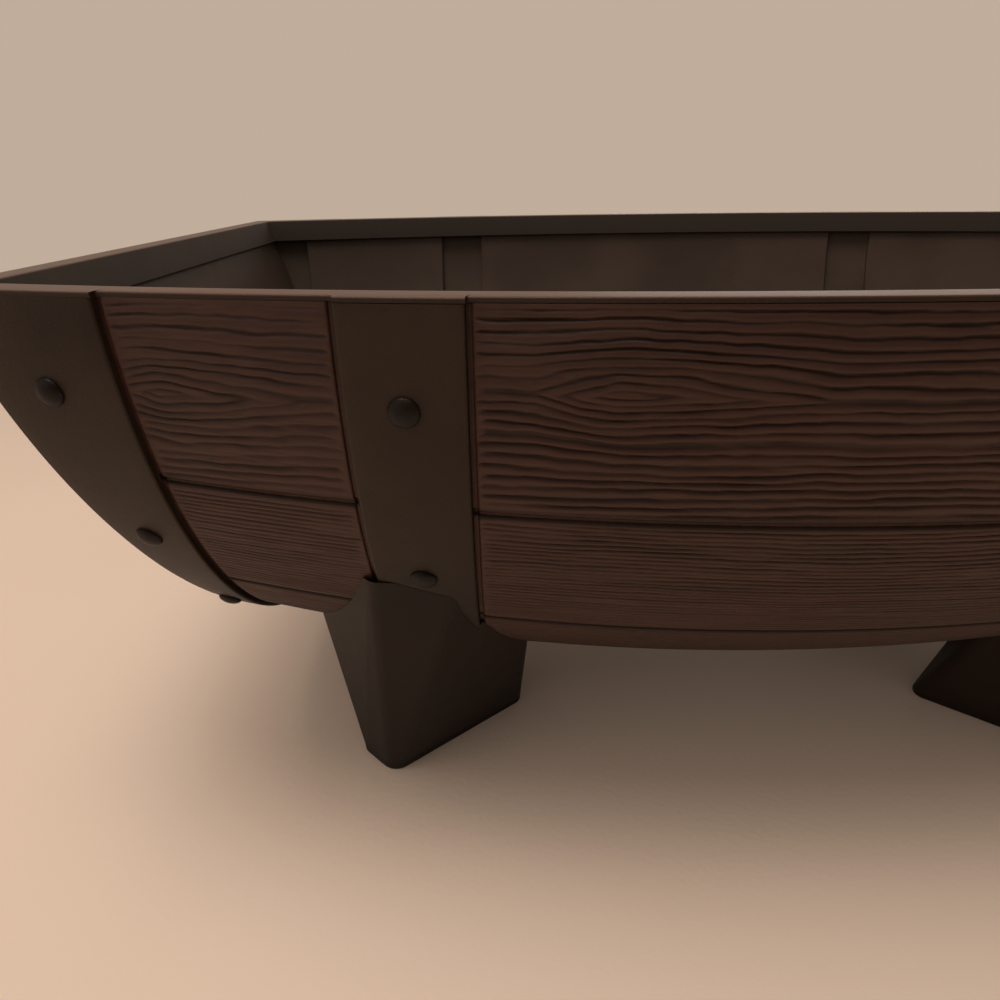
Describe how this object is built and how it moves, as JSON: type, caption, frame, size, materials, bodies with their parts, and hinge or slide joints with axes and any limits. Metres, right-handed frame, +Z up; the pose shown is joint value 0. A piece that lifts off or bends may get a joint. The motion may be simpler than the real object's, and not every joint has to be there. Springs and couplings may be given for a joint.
{
  "type": "half barrel planter",
  "caption": "Floor planter shaped as a half barrel lying on its side: an open trough faced with wood-look boards, bound by hoops and standing on short angled feet.",
  "frame": {"origin": "on the floor, under the middle of the trough", "axes": "+X along the barrel to the right, +Y from the front face to the back, +Z up"},
  "size_m": [0.6, 0.428, 0.245],
  "materials": {
    "tub_plastic": "moulded, fine satin",
    "board_plastic": "moulded wood grain, brushed highlights",
    "hoop_plastic": "smooth satin",
    "rivet_plastic": "smooth satin",
    "foot_plastic": "smooth satin",
    "screw_steel": "zinc plated"
  },
  "bodies": {
    "root": {"tub": "tub_plastic", "left_board_1": "board_plastic", "left_board_2": "board_plastic", "left_board_3": "board_plastic", "left_board_4": "board_plastic", "left_board_5": "board_plastic", "left_board_6": "board_plastic", "left_board_7": "board_plastic", "left_board_8": "board_plastic", "left_board_9": "board_plastic", "middle_board_1": "board_plastic", "middle_board_2": "board_plastic", "middle_board_3": "board_plastic", "middle_board_4": "board_plastic", "middle_board_5": "board_plastic", "middle_board_6": "board_plastic", "middle_board_7": "board_plastic", "middle_board_8": "board_plastic", "middle_board_9": "board_plastic", "right_board_1": "board_plastic", "right_board_2": "board_plastic", "right_board_3": "board_plastic", "right_board_4": "board_plastic", "right_board_5": "board_plastic", "right_board_6": "board_plastic", "right_board_7": "board_plastic", "right_board_8": "board_plastic", "right_board_9": "board_plastic", "left_head": "board_plastic", "right_head": "board_plastic", "left_end_hoop": "hoop_plastic", "left_hoop": "hoop_plastic", "right_hoop": "hoop_plastic", "right_end_hoop": "hoop_plastic", "left_end_rivets": "rivet_plastic", "left_rivets": "rivet_plastic", "right_rivets": "rivet_plastic", "right_end_rivets": "rivet_plastic", "front_left_foot": "foot_plastic", "front_right_foot": "foot_plastic", "back_left_foot": "foot_plastic", "back_right_foot": "foot_plastic", "foot_screws": "screw_steel"}
  },
  "joints": []
}
